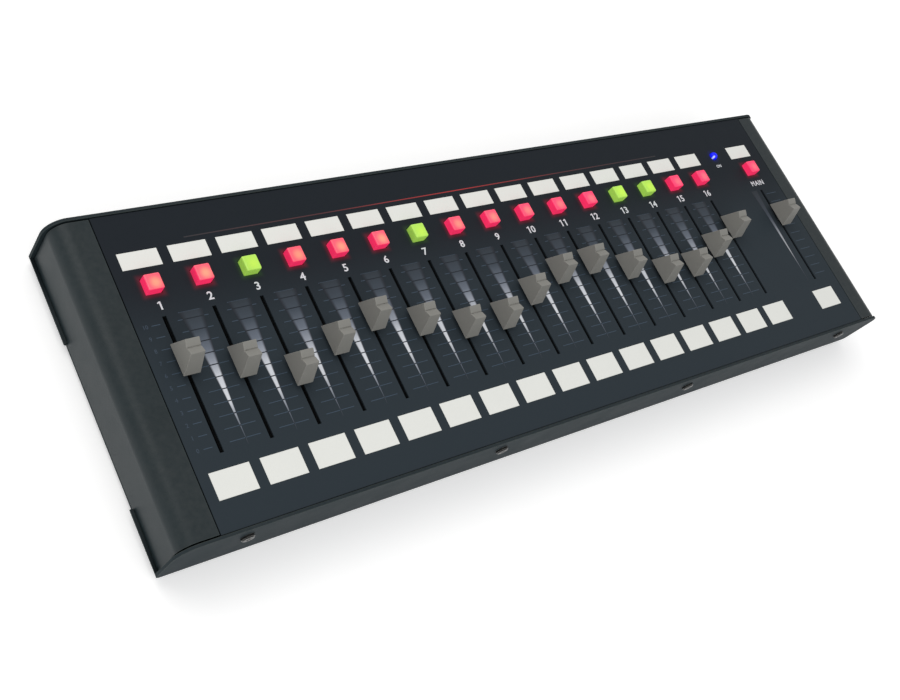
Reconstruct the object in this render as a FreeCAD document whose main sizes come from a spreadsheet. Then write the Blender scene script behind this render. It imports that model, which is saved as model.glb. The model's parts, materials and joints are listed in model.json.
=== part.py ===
import FreeCAD, Part
import math
import os
import re
import Sketcher

# Sixteen-channel control desk with one master fader.
# Origin: centre of the footprint on the table. +X towards the master fader, +Y towards
# the rear wall, +Z up. Millimetres throughout.
doc = FreeCAD.newDocument("control_desk")

# ---------------------------------------------------------------- driving dimensions
sheet = doc.addObject("Spreadsheet::Sheet", "Sizes")
sizes = {
    # case
    "case_width": 507.0,
    "case_depth": 158.0,
    "case_height": 32.0,
    "foot_height": 3.0,
    "pan_sheet": 1.5,
    "panel_sheet": 1.5,
    "overlay_sheet": 0.7,
    "seam_gap": 0.3,
    "edge_gap": 0.4,
    "wall_rise": 0.5,
    "wall_corner": 10.0,
    "pan_bend": 3.0,
    "lip_height": 3.0,
    "lip_front": 31.0,
    "lip_rear": 46.0,
    "flange_depth": 20.0,
    # cheeks
    "cheek_width": 17.9,
    "cheek_seam": 0.6,
    "cheek_end_gap": 0.8,
    "cheek_radius": 8.5,
    "cheek_wall": 2.5,
    "cheek_foot": 14.0,
    "cheek_foot_wall": 4.0,
    "tongue_reach": 6.0,
    "tongue_wall": 2.0,
    # controls
    "channel_pitch": 25.4,
    "row_offset": -2.0,
    "fader_travel": 60.0,
    "fader_centre": -10.0,
    "slot_width": 2.1,
    "slot_spare": 3.0,
    "cap_base_width": 8.5,
    "cap_base_length": 15.9,
    "cap_top_width": 7.0,
    "cap_top_length": 7.3,
    "cap_height": 12.7,
    "cap_lift": 2.7,
    "saddle_depth": 1.3,
    "line_width": 0.5,
    "line_depth": 0.35,
    "lever_width": 1.2,
    "lever_length": 4.0,
    "lever_grip": 7.0,
    "fit_gap": 0.05,
    "carriage_length": 8.0,
    "slide_gap": 0.3,
    "housing_width": 9.0,
    "housing_height": 7.0,
    "housing_spare": 7.0,
    "housing_wall": 1.0,
    "track_wall": 0.6,
    "track_width": 5.0,
    "button_side": 8.0,
    "button_height": 4.6,
    "button_skirt": 3.2,
    "button_edge": 0.8,
    "button_centre": 39.1,
    "button_gap": 0.25,
    "button_travel": 1.0,
    "stem_side": 3.0,
    "stem_length": 3.5,
    "stem_gap": 0.15,
    "switch_side": 10.0,
    "switch_height": 5.0,
    # labels and lamp
    "label_width": 20.2,
    "upper_label_depth": 8.9,
    "upper_label_centre": 53.0,
    "lower_label_depth": 12.8,
    "lower_label_centre": -56.9,
    "label_sheet": 0.6,
    "label_gap": 0.1,
    "lamp_radius": 2.5,
    "lamp_rise": 2.6,
    "lamp_collar": 0.4,
    "lamp_collar_height": 1.0,
    "lamp_gap": 0.3,
    "leg_radius": 0.3,
    "leg_spacing": 2.54,
    # boards
    "board_sheet": 1.6,
    "fader_board_end": 11.3,
    "board_front_margin": 15.6,
    "board_rear_margin": 11.6,
    "spacer_radius": 3.0,
    "main_board_width": 96.0,
    "main_board_depth": 55.0,
    "main_board_margin": 0.6,
    "link_width": 40.0,
    "link_depth": 5.0,
    "link_inset": 10.0,
    # sockets
    "network_centre": 15.0,
    "network_width": 16.0,
    "network_height": 13.5,
    "main_screw_share": 0.75,
    "network_depth": 21.0,
    "network_mouth_width": 11.8,
    "network_mouth_height": 8.4,
    "network_mouth_depth": 14.0,
    "latch_width": 5.0,
    "latch_height": 2.0,
    "contact_pitch": 1.02,
    "contact_width": 0.45,
    "contact_sheet": 0.6,
    "contact_setback": 2.0,
    "power_centre": -18.0,
    "power_width": 9.0,
    "power_height": 11.0,
    "power_depth": 14.0,
    "power_bore": 2.75,
    "power_pin": 1.0,
    "power_bore_depth": 9.5,
    "power_pin_setback": 1.5,
    # fasteners and feet
    "screw_radius": 1.5,
    "screw_clearance": 0.2,
    "head_radius": 3.25,
    "head_height": 1.6,
    "head_bulge": 0.6,
    "recess_depth": 0.9,
    "recess_width": 0.8,
    "recess_length": 3.6,
    "nut_radius": 3.5,
    "nut_height": 2.5,
    "case_screw_drop": 9.5,
    "case_screw_inner": 70.8,
    "case_screw_outer": 217.5,
    "cheek_screw_inset": 9.0,
    "cheek_screw_spread": 60.0,
    "foot_radius": 7.0,
    "foot_taper": 1.0,
    "foot_inset_x": 29.0,
    "foot_inset_y": 19.0,
}
for row, (alias, value) in enumerate(sizes.items(), start=1):
    sheet.set(f"A{row}", alias)
    sheet.set(f"B{row}", str(value))
    sheet.setAlias(f"B{row}", alias)
doc.recompute()

channel_count = 16
# fader positions at rest, on the printed 0 to 10 scale, channel 1 first and master last
rest_levels = [6.8, 5.6, 3.9, 5.5, 6.7, 5.3, 4.1, 4.0, 5.5, 6.8, 7.0, 5.6, 4.3, 4.2, 5.6, 7.1, 7.2]
names = [f"{number:02d}" for number in range(1, channel_count + 1)] + ["master"]
# the master stands one empty pitch to the right of channel 16
steps = list(range(channel_count)) + [channel_count + 1]
row_length = f"{channel_count + 1} * channel_pitch"
row_start = f"(row_offset - {row_length} / 2)"

# levels and faces that several pieces share, as formulas on the sheet's names
floor_top = "(foot_height + pan_sheet)"
panel_face = "(foot_height + case_height)"
panel_top = f"({panel_face} - overlay_sheet)"
panel_under = f"({panel_top} - panel_sheet)"
housing_top = f"({panel_under} - seam_gap)"
board_top = f"({housing_top} - housing_height)"
board_under = f"({board_top} - board_sheet)"
main_top = f"({board_under} - seam_gap - network_height)"
main_under = f"({main_top} - board_sheet)"
wall_inner = "(case_depth / 2 - pan_sheet)"
skin_half_depth = f"({wall_inner} - edge_gap)"
cheek_outer = "(case_width / 2 - pan_sheet - seam_gap)"
seam = f"({cheek_outer} - cheek_width)"
flange_face = f"({skin_half_depth} - panel_sheet)"
board_front = f"(board_front_margin - {flange_face})"
board_rear = f"({flange_face} - board_rear_margin)"
main_rear = f"({flange_face} - main_board_margin)"
main_front = f"({main_rear} - main_board_depth)"
screw_level = f"({panel_face} - case_screw_drop)"
slot_length = "(fader_travel + lever_length + slot_spare)"
lamp_x = f"({row_start} + {channel_count} * channel_pitch)"


# ---------------------------------------------------------------- helpers
def formula(text):
    """The sheet's expression for a formula written with plain size names."""
    return re.sub(r"[a-z]\w*", lambda word: "Sizes." + word.group(), str(text))


def bind(item, **formulas):
    for prop, text in formulas.items():
        item.setExpression(prop, formula(text))
    return item


def place(item, x=0, y=0, z=0):
    for axis, text in zip("xyz", (x, y, z)):
        item.setExpression(f"Placement.Base.{axis}", formula(text))
    return item


def box(name, centre_x, centre_y, low_z, width, depth, height):
    """A box given by the middle of its bottom face."""
    item = bind(doc.addObject("Part::Box", name), Length=width, Width=depth, Height=height)
    return place(item, f"{centre_x} - ({width}) / 2", f"{centre_y} - ({depth}) / 2", low_z)


def cylinder(name, x, y, z, radius, height, along="Z"):
    item = bind(doc.addObject("Part::Cylinder", name), Radius=radius, Height=height)
    turns = {"Z": (FreeCAD.Vector(0, 0, 1), 0), "Y": (FreeCAD.Vector(1, 0, 0), -90)}
    item.Placement = FreeCAD.Placement(FreeCAD.Vector(), FreeCAD.Rotation(*turns[along]))
    return place(item, x, y, z)


def group(name, items):
    item = doc.addObject("Part::Compound", name)
    item.Links = items
    return item


def cut(name, base, tools):
    item = doc.addObject("Part::Cut", name)
    item.Base = base
    item.Tool = tools[0] if len(tools) == 1 else group(name + "_tools", tools)
    return item


def fuse(name, items):
    item = doc.addObject("Part::MultiFuse", name)
    item.Shapes = items
    item.Refine = True
    return item


def new_body(name):
    return doc.addObject("PartDesign::Body", name)


def new_sketch(body, name, role, lift=0):
    sketch = body.newObject("Sketcher::SketchObject", name)
    base_plane = [item for item in body.Origin.OriginFeatures if item.Role == role]
    sketch.AttachmentSupport = [(base_plane[0], "")]
    sketch.MapMode = "FlatFace"
    sketch.setExpression(".AttachmentOffset.Base.z", formula(lift))
    return sketch


def outline(sketch, corners):
    """A closed outline of straight lines; each corner is a pair of formulas, anticlockwise."""
    count = len(corners)
    turn = [2 * math.pi * index / count for index in range(count)]
    starts = [FreeCAD.Vector(20 * math.cos(angle), 20 * math.sin(angle), 0) for angle in turn]
    for index in range(count):
        sketch.addGeometry(Part.LineSegment(starts[index], starts[(index + 1) % count]), False)
    for index in range(count):
        sketch.addConstraint(Sketcher.Constraint("Coincident", index, 2, (index + 1) % count, 1))
    for index, corner in enumerate(corners):
        for kind, start, text in zip(("DistanceX", "DistanceY"), starts[index], corner):
            number = sketch.addConstraint(Sketcher.Constraint(kind, -1, 1, index, 1, start))
            sketch.setExpression(f"Constraints[{number}]", formula(text))


def rectangle(sketch, width, depth, x=0, y=0):
    left, right = f"{x} - ({width}) / 2", f"{x} + ({width}) / 2"
    low, high = f"{y} - ({depth}) / 2", f"{y} + ({depth}) / 2"
    outline(sketch, [(left, low), (right, low), (right, high), (left, high)])


def pad(body, name, sketch, length, symmetric=False, reverse=False):
    feature = body.newObject("PartDesign::Pad", name)
    feature.Profile = sketch
    feature.SideType = "Symmetric" if symmetric else "One side"
    feature.Reversed = reverse
    return bind(feature, Length=length)


def pocket(body, name, sketch, length, symmetric=False, reverse=False):
    feature = body.newObject("PartDesign::Pocket", name)
    feature.Profile = sketch
    feature.SideType = "Symmetric" if symmetric else "One side"
    feature.Reversed = reverse
    return bind(feature, Length=length)


def round_edges(body, name, base, radius, wanted):
    """A fillet on each edge of base that the test picks from its two ends."""
    doc.recompute()
    picked = []
    for number, edge in enumerate(base.Shape.Edges, start=1):
        ends = [vertex.Point for vertex in edge.Vertexes]
        if len(ends) == 2 and wanted(*ends):
            picked.append(f"Edge{number}")
    feature = body.newObject("PartDesign::Fillet", name)
    feature.Base = (base, picked)
    return bind(feature, Radius=radius)


def upright(start, end):
    return abs(start.x - end.x) < 1e-6 and abs(start.y - end.y) < 1e-6


def screw(name, length):
    """A pan head screw along +Z, its head's bearing face at z = 0 and the shank above it."""
    body = new_body(name)
    sketch = new_sketch(body, name + "_profile", "XZ_Plane")
    outline(sketch, [("0", "0 - head_height"), ("head_radius - head_bulge", "0 - head_height"),
                     ("head_radius", "head_bulge - head_height"), ("head_radius", "0"),
                     ("screw_radius", "0"), ("screw_radius", length), ("0", length)])
    turned = body.newObject("PartDesign::Revolution", name + "_turned")
    turned.Profile = sketch
    turned.ReferenceAxis = (sketch, ["V_Axis"])
    turned.Angle = 360
    across = new_sketch(body, name + "_cross", "XY_Plane", "0 - head_height")
    half_width, half_length = "recess_width / 2", "recess_length / 2"
    cross = [(1, -1, half_length, half_width), (1, 1, half_length, half_width),
             (1, 1, half_width, half_width), (1, 1, half_width, half_length),
             (-1, 1, half_width, half_length), (-1, 1, half_width, half_width),
             (-1, 1, half_length, half_width), (-1, -1, half_length, half_width),
             (-1, -1, half_width, half_width), (-1, -1, half_width, half_length),
             (1, -1, half_width, half_length), (1, -1, half_width, half_width)]
    outline(across, [(f"{side} * {x}", f"{end} * {y}") for side, end, x, y in cross])
    pocket(body, name + "_recess", across, "recess_depth", reverse=True)
    return body


def turned_screw(name, length, x, y, z, axis, angle):
    body = screw(name, length)
    body.Placement = FreeCAD.Placement(FreeCAD.Vector(), FreeCAD.Rotation(axis, angle))
    return place(body, x, y, z)


pieces = {}


def keep(name, item):
    """Name a finished sub-part: its label is also the name of its file."""
    item.Label = name
    pieces[name] = item
    return item


def channel_x(step):
    return f"({row_start} + {step} * channel_pitch)"


# ---------------------------------------------------------------- case shells
def screw_places():
    """Middle x of the case screws along one wall."""
    return ["0 - case_screw_outer", "0 - case_screw_inner", "case_screw_inner", "case_screw_outer"]


def cheek_screw_places():
    x = f"({cheek_outer} - cheek_screw_inset)"
    return [(f"{side} * {x}", f"{along} * cheek_screw_spread") for side in (-1, 1) for along in (-1, 0, 1)]


def socket_openings(name, spare):
    """Cutters through the rear wall for the two sockets, with the given room all round."""
    network = box(name + "_network", "network_centre", "case_depth / 2", f"{main_top} - {spare}",
                  f"network_width + 2 * {spare}", "4 * edge_gap + 4 * pan_sheet",
                  f"network_height + 2 * {spare}")
    power = box(name + "_power", "power_centre", "case_depth / 2", f"{main_top} - {spare}",
                f"power_width + 2 * {spare}", "4 * edge_gap + 4 * pan_sheet",
                f"power_height + 2 * {spare}")
    return [network, power]


def make_base_pan():
    """A folded tray: floor, tall front and rear walls, and low lips at the sides."""
    body = new_body("pan_body")
    profile = new_sketch(body, "pan_profile", "XZ_Plane")
    outline(profile, [("0 - case_width / 2", "foot_height"), ("case_width / 2", "foot_height"),
                      ("case_width / 2", f"{panel_face} + wall_rise"),
                      ("0 - case_width / 2", f"{panel_face} + wall_rise")])
    block = pad(body, "pan_block", profile, "case_depth", symmetric=True)
    middle = (sizes["foot_height"] + sizes["case_height"]) / 2
    corners = round_edges(body, "pan_corners", block, "wall_corner",
                          lambda a, b: abs(a.y - b.y) > 1 and a.z > middle)
    bends = round_edges(body, "pan_bends", corners, "pan_bend",
                        lambda a, b: abs(a.y - b.y) > 1 and max(a.z, b.z) < sizes["foot_height"] + 1
                        and abs(a.x) > sizes["case_width"] / 2 - 1)
    inside = new_sketch(body, "pan_inside", "XY_Plane", floor_top)
    rectangle(inside, "case_width - 2 * pan_sheet", f"2 * {wall_inner}")
    pocket(body, "pan_hollow", inside, "2 * case_height", reverse=True)
    above = new_sketch(body, "pan_above_lips", "XY_Plane", "foot_height + lip_height")
    rectangle(above, "case_width + 2", f"2 * {wall_inner}")
    pocket(body, "pan_sides_open", above, "2 * case_height", reverse=True)
    for name, side in (("left", -1), ("right", 1)):
        notch = new_sketch(body, f"pan_{name}_notch_outline", "XY_Plane")
        rectangle(notch, "2 * pan_bend", "case_depth - lip_front - lip_rear",
                  f"{side} * ({cheek_outer} + pan_bend)", "(lip_front - lip_rear) / 2")
        pocket(body, f"pan_{name}_notch", notch, "2 * case_height", reverse=True)
    holes = socket_openings("pan_socket", "seam_gap")
    for index, x in enumerate(screw_places()):
        holes.append(cylinder(f"pan_screw_hole_{index}", x, "0 - case_depth", screw_level,
                              "screw_radius + screw_clearance", "2 * case_depth", along="Y"))
    for index, (x, y) in enumerate(cheek_screw_places()):
        holes.append(cylinder(f"pan_cheek_hole_{index}", x, y, "0", "screw_radius + screw_clearance",
                              "2 * foot_height"))
    keep("base_pan", cut("base_pan_cut", body, holes))


def control_cutters(name, low, height):
    """Upright cutters for the fader slots, the button holes and the lamp hole."""
    cutters = []
    for label, step in zip(names, steps):
        cutters.append(box(f"{name}_slot_{label}", channel_x(step), "fader_centre", low,
                           "slot_width", slot_length, height))
        cutters.append(box(f"{name}_button_{label}", channel_x(step), "button_centre", low,
                           "button_side + 2 * button_gap", "button_side + 2 * button_gap", height))
    cutters.append(cylinder(f"{name}_lamp", lamp_x, "upper_label_centre", low,
                            "lamp_radius + lamp_gap", height))
    return cutters


def make_top_panel():
    plate = box("panel_plate", "0", "0", panel_under, f"2 * {seam} - 2 * cheek_seam",
                f"2 * {skin_half_depth}", "panel_sheet")
    flanges = []
    for name, side in (("front", -1), ("rear", 1)):
        flanges.append(box(f"panel_{name}_flange", "0", f"{side} * ({skin_half_depth} - panel_sheet / 2)",
                           f"{panel_under} - flange_depth",
                           f"2 * {seam} - 2 * tongue_reach - 2 * seam_gap",
                           "panel_sheet", "flange_depth"))
    holes = control_cutters("panel", f"{panel_under} - 1", "panel_sheet + 2")
    holes += socket_openings("panel_socket", "2 * seam_gap")
    for index, x in enumerate(screw_places()):
        holes.append(cylinder(f"panel_screw_hole_{index}", x, "0 - case_depth", screw_level,
                              "screw_radius + screw_clearance", "2 * case_depth", along="Y"))
    keep("top_panel", cut("top_panel_cut", fuse("panel_folded", [plate] + flanges), holes))


def label_places():
    for row, centre, depth in (("upper", "upper_label_centre", "upper_label_depth"),
                               ("lower", "lower_label_centre", "lower_label_depth")):
        for label, step in zip(names, steps):
            yield row, label, channel_x(step), centre, depth


def make_overlay_and_labels():
    film = box("overlay_film", "0", "0", panel_top, f"2 * {seam} - 2 * cheek_seam",
               f"2 * {skin_half_depth}", "overlay_sheet")
    holes = control_cutters("overlay", f"{panel_top} - 1", "overlay_sheet + 2")
    labels = {"upper": [], "lower": []}
    for row, label, x, centre, depth in label_places():
        holes.append(box(f"window_{row}_{label}", x, centre, f"{panel_top} - 1",
                         "label_width", depth, "overlay_sheet + 2"))
        labels[row].append(box(f"label_{row}_{label}", x, centre, panel_top,
                               "label_width - 2 * label_gap", f"{depth} - 2 * label_gap", "label_sheet"))
    keep("panel_overlay", cut("panel_overlay_cut", film, holes))
    for row, strips in labels.items():
        keep(f"{row}_label_inserts", group(f"{row}_label_group", strips))


def make_cheek(name, side):
    """A rounded side moulding with a tongue under the panel and a foot on the pan's floor."""
    body = new_body(name + "_body")
    profile = new_sketch(body, name + "_profile", "XZ_Plane")
    inner_wall = f"({cheek_outer} - cheek_wall)"
    foot_edge = f"({cheek_outer} - cheek_foot)"
    foot_top = f"({floor_top} + cheek_foot_wall)"
    corners = [(cheek_outer, floor_top), (cheek_outer, panel_face), (seam, panel_face),
               (seam, panel_under), (f"{seam} - tongue_reach", panel_under),
               (f"{seam} - tongue_reach", f"{panel_under} - tongue_wall"),
               (inner_wall, f"{panel_under} - tongue_wall"), (inner_wall, foot_top),
               (foot_edge, foot_top), (foot_edge, floor_top)]
    if side < 0:
        corners = [(f"0 - ({x})", z) for x, z in reversed(corners)]
    outline(profile, corners)
    bar = pad(body, name + "_bar", profile, f"2 * {wall_inner} - 2 * cheek_end_gap", symmetric=True)
    outer = sizes["case_width"] / 2 - sizes["pan_sheet"] - sizes["seam_gap"]
    face = sizes["foot_height"] + sizes["case_height"]
    under = face - sizes["overlay_sheet"] - sizes["panel_sheet"] - sizes["tongue_wall"]
    outside = round_edges(body, name + "_shoulder", bar, "cheek_radius",
                          lambda a, b: abs(a.y - b.y) > 1 and abs(abs(a.x) - outer) < 0.01
                          and abs(a.z - face) < 0.01)
    round_edges(body, name + "_inner_shoulder", outside, "cheek_radius - cheek_wall",
                lambda a, b: abs(a.y - b.y) > 1 and abs(abs(a.x) - outer + sizes["cheek_wall"]) < 0.01
                and abs(a.z - under) < 0.01)
    holes = []
    for index, (x, y) in enumerate(cheek_screw_places()):
        if x.startswith(str(side)):
            holes.append(cylinder(f"{name}_hole_{index}", x, y, floor_top,
                                  "screw_radius + fit_gap", "cheek_foot_wall"))
    keep(name, cut(name + "_drilled", body, holes))


make_base_pan()
make_top_panel()
make_overlay_and_labels()
make_cheek("left_cheek", -1)
make_cheek("right_cheek", 1)
print("case shells", len(pieces))


# ---------------------------------------------------------------- faders
def fader_cap(name):
    """A tapered finger cap with a shallow saddle across its top and a socket for the lever."""
    body = new_body(name)
    low = new_sketch(body, name + "_base", "XY_Plane", "cap_lift")
    rectangle(low, "cap_base_width", "cap_base_length")
    high = new_sketch(body, name + "_top", "XY_Plane", "cap_lift + cap_height")
    rectangle(high, "cap_top_width", "cap_top_length")
    loft = body.newObject("PartDesign::AdditiveLoft", name + "_taper")
    loft.Profile = low
    loft.Sections = [high]
    loft.Ruled = True
    cap_top = "(cap_lift + cap_height)"
    saddle = new_sketch(body, name + "_saddle", "YZ_Plane")
    rim, line = "cap_top_length / 2 - line_width", "line_width / 2"
    dip, groove = f"{cap_top} - saddle_depth", f"{cap_top} - saddle_depth - line_depth"
    outline(saddle, [(f"0 - ({rim})", cap_top), (f"0 - {line}", dip), (f"0 - {line}", groove),
                     (line, groove), (line, dip), (rim, cap_top),
                     (rim, f"{cap_top} + 1"), (f"0 - ({rim})", f"{cap_top} + 1")])
    pocket(body, name + "_dip", saddle, "2 * cap_base_width", symmetric=True)
    socket = new_sketch(body, name + "_socket", "XY_Plane", "cap_lift")
    rectangle(socket, "lever_width + 2 * fit_gap", "lever_length + 2 * fit_gap")
    pocket(body, name + "_grip", socket, "lever_grip", reverse=True)
    return body


def fader_lever(name):
    """The fader's blade, from its carriage inside the housing up into the cap."""
    carriage_width = "housing_width - 2 * housing_wall - 2 * slide_gap"
    carriage_low = f"({board_top} - {panel_face} + housing_wall + track_wall + slide_gap)"
    carriage_high = f"({housing_top} - {panel_face} - housing_wall - slide_gap)"
    carriage = box(name + "_carriage", "0", "0", carriage_low, carriage_width, "carriage_length",
                   f"{carriage_high} - {carriage_low}")
    blade = box(name + "_blade", "0", "0", carriage_low, "lever_width", "lever_length",
                f"cap_lift + lever_grip - {carriage_low}")
    return fuse(name, [carriage, blade])


def make_fader_knobs():
    for label, step, level in zip(names, steps, rest_levels):
        cap = fader_cap(f"cap_{label}")
        lever = fader_lever(f"lever_{label}")
        knob = keep(f"fader_knob_{label}", group(f"knob_{label}", [cap, lever]))
        rest = f"fader_centre + ({level} / 10 - 0.5) * fader_travel"
        place(knob, channel_x(step), rest, panel_face)


def make_fader_housings():
    """Slim steel fader cases on the board, each with a slot in its lid, and their tracks."""
    length = "(fader_travel + carriage_length + housing_spare)"
    housings, tracks = [], []
    for label, step in zip(names, steps):
        x = channel_x(step)
        shell = box(f"housing_shell_{label}", x, "fader_centre", board_top, "housing_width", length,
                    "housing_height")
        room = box(f"housing_room_{label}", x, "fader_centre", f"{board_top} + housing_wall",
                   "housing_width - 2 * housing_wall", f"{length} - 2 * housing_wall",
                   "housing_height - 2 * housing_wall")
        slot = box(f"housing_slot_{label}", x, "fader_centre", f"{housing_top} - 2 * housing_wall",
                   "slot_width", slot_length, "3 * housing_wall")
        housings.append(cut(f"housing_{label}", shell, [room, slot]))
        tracks.append(box(f"track_{label}", x, "fader_centre", f"{board_top} + housing_wall",
                          "track_width", f"{length} - 2 * housing_wall - 2 * slide_gap", "track_wall"))
    keep("fader_housings", group("housing_group", housings))
    keep("fader_tracks", group("track_group", tracks))


# ---------------------------------------------------------------- buttons and lamp
def make_mute_buttons():
    for label, step in zip(names, steps):
        body = new_body(f"button_{label}")
        square = new_sketch(body, f"button_square_{label}", "XY_Plane", "0 - button_skirt")
        rectangle(square, "button_side", "button_side")
        block = pad(body, f"button_block_{label}", square, "button_skirt + button_height")
        top = sizes["button_height"]
        round_edges(body, f"button_edges_{label}", block, "button_edge",
                    lambda a, b: upright(a, b) or min(a.z, b.z) > top - 0.01)
        stem = new_sketch(body, f"button_stem_square_{label}", "XY_Plane", "0 - button_skirt")
        rectangle(stem, "stem_side", "stem_side")
        pad(body, f"button_stem_{label}", stem, "stem_length", reverse=True)
        place(body, channel_x(step), "button_centre", panel_face)
        keep(f"mute_button_{label}", body)


def make_switch_bodies():
    switches = []
    for label, step in zip(names, steps):
        x = channel_x(step)
        block = box(f"switch_block_{label}", x, "button_centre", board_top, "switch_side", "switch_side",
                    "switch_height")
        well = box(f"switch_well_{label}", x, "button_centre",
                   f"{panel_face} - button_skirt - stem_length - button_travel - slide_gap",
                   "stem_side + 2 * stem_gap", "stem_side + 2 * stem_gap", "2 * switch_height")
        switches.append(cut(f"switch_{label}", block, [well]))
    keep("switch_bodies", group("switch_group", switches))


def make_power_lamp():
    """A domed round lamp standing through the panel on two wire legs."""
    body = new_body("lamp_body")
    profile = new_sketch(body, "lamp_profile", "XZ_Plane")
    low = f"{panel_under} - lamp_collar_height - seam_gap"
    outline(profile, [("0", low), ("lamp_radius + lamp_collar", low),
                      ("lamp_radius + lamp_collar", f"{low} + lamp_collar_height"),
                      ("lamp_radius", f"{low} + lamp_collar_height"),
                      ("lamp_radius", f"{panel_face} + lamp_rise"), ("0", f"{panel_face} + lamp_rise")])
    turned = body.newObject("PartDesign::Revolution", "lamp_turned")
    turned.Profile = profile
    turned.ReferenceAxis = (profile, ["V_Axis"])
    turned.Angle = 360
    top = sizes["foot_height"] + sizes["case_height"] + sizes["lamp_rise"]
    doc.recompute()
    rim = [f"Edge{number}" for number, edge in enumerate(turned.Shape.Edges, start=1)
           if edge.BoundBox.ZMin > top - 0.01 and edge.BoundBox.XLength > 1]
    dome = body.newObject("PartDesign::Fillet", "lamp_dome")
    dome.Base = (turned, rim)
    bind(dome, Radius="lamp_radius - fit_gap")
    place(body, lamp_x, "upper_label_centre", "0")
    legs = []
    for name, side in (("left", -1), ("right", 1)):
        legs.append(cylinder(f"lamp_leg_{name}", f"{lamp_x} + {side} * leg_spacing / 2",
                             "upper_label_centre", board_under, "leg_radius", f"{low} - {board_under}"))
    keep("power_lamp", group("lamp_group", [body] + legs))


make_fader_knobs()
make_fader_housings()
make_mute_buttons()
make_switch_bodies()
make_power_lamp()
print("controls", len(pieces))


# ---------------------------------------------------------------- boards
def spacer_places():
    """The fader board hangs from the panel on spacers between the channels."""
    y_values = [f"{board_front} + spacer_radius + edge_gap", f"{board_rear} - spacer_radius - edge_gap"]
    # whole pitches from the middle fall half-way between two channels
    x_values = [f"row_offset + {count} * channel_pitch" for count in (-8, -4, 0, 4, 7)]
    return [(x, y) for y in y_values for x in x_values]


def main_spacer_places():
    x = "(main_board_width / 2 - spacer_radius - edge_gap)"
    y_values = [f"{main_front} + spacer_radius + edge_gap", f"{main_rear} - spacer_radius - edge_gap"]
    return [(f"{side} * {x}", y) for side in (-1, 1) for y in y_values]


def tube(name, x, y, low, height):
    outer = cylinder(name + "_outer", x, y, low, "spacer_radius", height)
    bore = cylinder(name + "_bore", x, y, low, "screw_radius + fit_gap", height)
    return cut(name, outer, [bore])


def make_boards():
    screws = []
    board = box("fader_board_blank", "row_offset", f"({board_rear} + {board_front}) / 2", board_under,
                f"{row_length} + fader_board_end", f"{board_rear} - {board_front}", "board_sheet")
    holes, spacers = [], []
    for index, (x, y) in enumerate(spacer_places()):
        holes.append(cylinder(f"board_hole_{index}", x, y, f"{board_under} - 1",
                              "screw_radius + screw_clearance", "board_sheet + 2"))
        spacers.append(tube(f"board_spacer_{index}", x, y, board_top, f"{panel_under} - {board_top}"))
        screws.append(turned_screw(f"board_screw_{index}", "board_sheet + screw_radius * 2",
                                   x, y, board_under, FreeCAD.Vector(1, 0, 0), 0))
    for name, side in (("left", -1), ("right", 1)):
        holes.append(cylinder(f"board_leg_hole_{name}", f"{lamp_x} + {side} * leg_spacing / 2",
                              "upper_label_centre", f"{board_under} - 1", "leg_radius + fit_gap",
                              "board_sheet + 2"))
    keep("fader_board", cut("fader_board_cut", board, holes))
    keep("board_spacers", group("board_spacer_group", spacers))
    main = box("main_board_blank", "0", f"({main_rear} + {main_front}) / 2", main_under,
               "main_board_width", "main_board_depth", "board_sheet")
    holes, spacers = [], []
    for index, (x, y) in enumerate(main_spacer_places()):
        holes.append(cylinder(f"main_hole_{index}", x, y, f"{main_under} - 1",
                              "screw_radius + screw_clearance", "board_sheet + 2"))
        spacers.append(tube(f"main_spacer_{index}", x, y, floor_top, f"{main_under} - {floor_top}"))
        screws.append(turned_screw(f"main_screw_{index}",
                                   f"board_sheet + main_screw_share * ({main_under} - {floor_top})",
                                   x, y, main_top, FreeCAD.Vector(1, 0, 0), 180))
    keep("main_board", cut("main_board_cut", main, holes))
    keep("main_board_spacers", group("main_spacer_group", spacers))
    keep("board_screws", group("board_screw_group", screws))
    keep("board_link", box("board_link_block", "0", f"{main_front} + link_inset", main_top,
                           "link_width", "link_depth", f"{board_under} - {main_top}"))


def make_main_board_chips():
    """Processor, memory, supply transformer, regulator and two electrolytic capacitors."""
    # name, middle x, distance from the board's front edge, width, depth, height
    plan = [("processor", -30, 24, 14, 14, 1.4), ("memory", -30, 40, 10, 6, 1.2),
            ("transformer", 36, 30, 13, 12, 7.5), ("regulator", 36, 44, 7, 7, 2.4),
            ("line_filter", 15, 26, 13, 8, 5.6)]
    chips = [box(f"chip_{name}", x, f"{main_front} + {inset}", main_top, width, depth, height)
             for name, x, inset, width, depth, height in plan]
    for name, x in (("left", -5), ("right", 3)):
        chips.append(cylinder(f"chip_capacitor_{name}", x, f"{main_front} + 25", main_top, 3.2, 7.5))
    keep("main_board_chips", group("chip_group", chips))


# ---------------------------------------------------------------- sockets
def make_network_socket():
    mouth_low = f"({main_top} + (network_height - network_mouth_height) / 2)"
    block = box("network_block", "network_centre", "(case_depth - network_depth) / 2", main_top,
                "network_width", "network_depth", "network_height")
    mouth = box("network_mouth", "network_centre", "(case_depth - network_mouth_depth) / 2 + 1", mouth_low,
                "network_mouth_width", "network_mouth_depth + 2", "network_mouth_height")
    latch = box("network_latch", "network_centre", "(case_depth - network_mouth_depth) / 2 + 1",
                f"{mouth_low} - latch_height", "latch_width", "network_mouth_depth + 2",
                "2 * latch_height")
    keep("network_socket", cut("network_socket_cut", block, [mouth, latch]))
    contacts = []
    contact_count = 8
    for index in range(contact_count):
        contacts.append(box(f"contact_{index}", f"network_centre + ({index} - 3.5) * contact_pitch",
                            "(case_depth - network_mouth_depth - contact_setback) / 2",
                            f"{mouth_low} + network_mouth_height - contact_sheet", "contact_width",
                            "network_mouth_depth - contact_setback", "contact_sheet"))
    keep("network_contacts", group("contact_group", contacts))


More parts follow.
